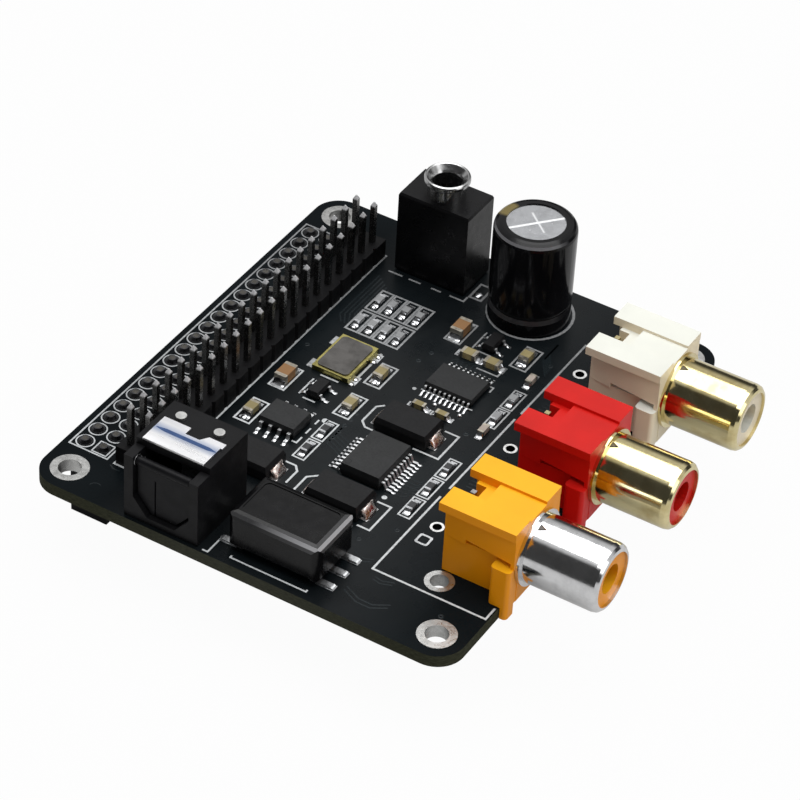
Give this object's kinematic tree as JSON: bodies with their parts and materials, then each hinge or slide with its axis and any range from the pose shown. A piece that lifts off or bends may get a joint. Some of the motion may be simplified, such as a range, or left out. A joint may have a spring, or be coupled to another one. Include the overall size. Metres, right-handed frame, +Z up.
{
  "type": "audio expansion board",
  "caption": "Small audio expansion board with phono, optical and headphone jacks, a pin header and a plug-on socket underneath.",
  "frame": {"origin": "centre of the four mounting holes, on the board's bottom face", "axes": "+Z up out of the face that carries the jacks; +X towards the phono jacks' barrels; -Y towards the edge with the optical jack and the transformer"},
  "size_m": [0.0667, 0.065, 0.0247],
  "materials": {
    "solder_mask": "glossy near-black lacquer over glass laminate",
    "tinned_copper": "tinned, bright",
    "solder": "bright, slightly uneven",
    "black_plastic": "satin moulded",
    "black_gloss": "smooth moulded, a little shiny",
    "gold_plate": "thin gold plate, bright",
    "bright_plate": "nickel plate, bright",
    "spring_steel": "drawn wire",
    "clear_moulding": "clear, slightly blue",
    "can_aluminium": "drawn, satin",
    "rubber_bung": "matt",
    "ivory_plastic": "smooth moulded",
    "red_plastic": "smooth moulded",
    "yellow_plastic": "smooth moulded",
    "epoxy": "fine matt moulding",
    "grey_metal_lid": "satin",
    "gilt_ceramic": "gilt rim over ceramic",
    "capacitor_epoxy": "matt moulding",
    "capacitor_ceramic": "tan fired ceramic",
    "resistor_glaze": "dark glaze on ceramic"
  },
  "bodies": {
    "board": {"board": "solder_mask", "hole_plating": "tinned_copper", "solder_pads": "tinned_copper", "stacking_socket_body": "black_plastic", "stacking_socket_contacts": "gold_plate", "stacking_socket_solder": "solder", "pin_header_body": "black_plastic", "pin_header_pins": "bright_plate", "pin_header_solder": "solder", "optical_housing": "black_plastic", "optical_emitter": "clear_moulding", "optical_leads": "tinned_copper", "optical_top_plate": "bright_plate", "optical_studs": "bright_plate", "headphone_housing": "black_gloss", "headphone_nose": "bright_plate", "headphone_contacts": "gold_plate", "capacitor_can": "can_aluminium", "capacitor_sleeve": "black_gloss", "capacitor_bung": "rubber_bung", "capacitor_leads": "tinned_copper", "phono_body_white": "ivory_plastic", "phono_body_red": "red_plastic", "phono_body_yellow": "yellow_plastic", "phono_shell_white": "gold_plate", "phono_shell_red": "gold_plate", "phono_shell_yellow": "bright_plate", "phono_contact_white": "gold_plate", "phono_contact_red": "gold_plate", "phono_contact_yellow": "bright_plate", "transformer_case": "black_gloss", "transformer_leads": "tinned_copper", "amplifier_chip": "epoxy", "amplifier_chip_leads": "tinned_copper", "link_chip": "epoxy", "link_chip_leads": "tinned_copper", "converter_chip": "epoxy", "converter_chip_leads": "tinned_copper", "regulators": "epoxy", "regulator_leads": "tinned_copper", "oscillator_base": "gilt_ceramic", "oscillator_lid": "grey_metal_lid", "moulded_capacitors": "capacitor_epoxy", "moulded_capacitor_ends": "tinned_copper", "chip_capacitors": "capacitor_ceramic", "chip_capacitor_ends": "tinned_copper", "chip_resistors": "resistor_glaze", "chip_resistor_ends": "tinned_copper", "lead_solder": "solder"},
    "shutter": {"optical_shutter": "black_gloss", "optical_shutter_spring": "spring_steel"}
  },
  "joints": [
    {"name": "shutter_hinge", "type": "hinge", "parent": "board", "child": "shutter", "pos_m": [-0.00995, -0.03095, 0.0095], "axis": [1, 0, 0], "range_deg": [0, 85], "stiffness_Nm_per_rad": 0.0003, "springref_deg": -11.46}
  ]
}
